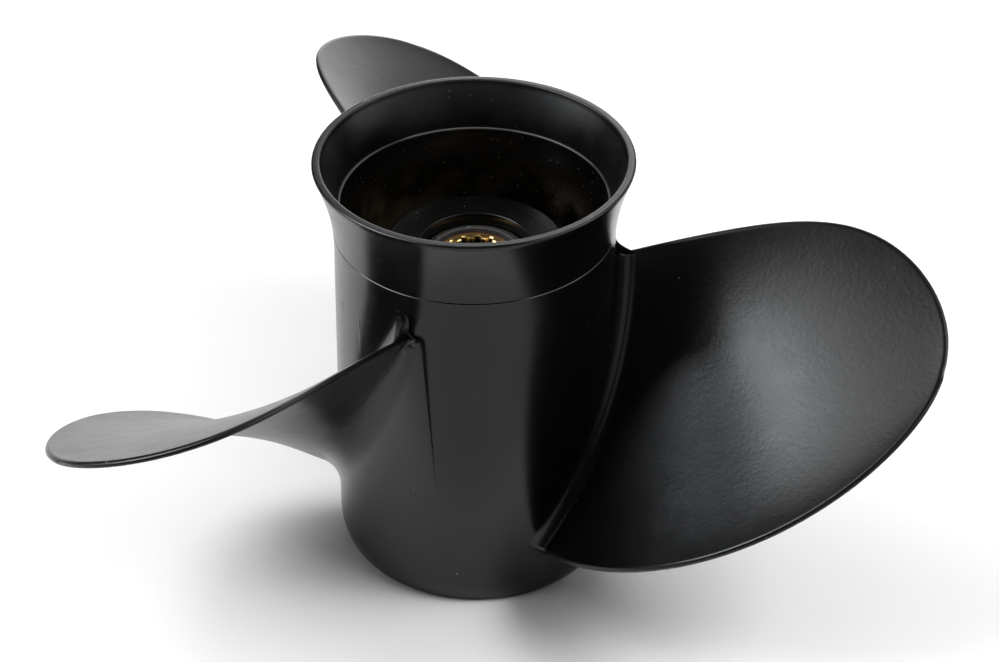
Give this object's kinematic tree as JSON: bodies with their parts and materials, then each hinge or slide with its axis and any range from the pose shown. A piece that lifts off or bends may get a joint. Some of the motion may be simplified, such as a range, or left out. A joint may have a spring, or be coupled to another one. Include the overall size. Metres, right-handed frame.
{
  "type": "outboard motor propeller",
  "caption": "Boat propeller with raked right-hand blades on a tubular barrel, a flared aft ring, an inner hub on webs, a rubber bushing and a splined brass sleeve.",
  "frame": {"origin": "on the propeller shaft's axis, in the plane of the barrel's forward end, which the part stands on", "axes": "+Z along the shaft's axis, aft; the part stands on its forward end as in the picture; +X and -Y as the picture's camera sees them, right and towards the viewer"},
  "size_m": [0.3142, 0.3006, 0.1662],
  "materials": {
    "black_paint": "satin black paint on cast aluminium",
    "black_rubber": "matt moulded rubber",
    "brass": "machined brass, lightly oiled"
  },
  "bodies": {
    "root": {"propeller_casting": "black_paint", "rubber_bushing": "black_rubber", "splined_sleeve": "brass"}
  },
  "joints": []
}
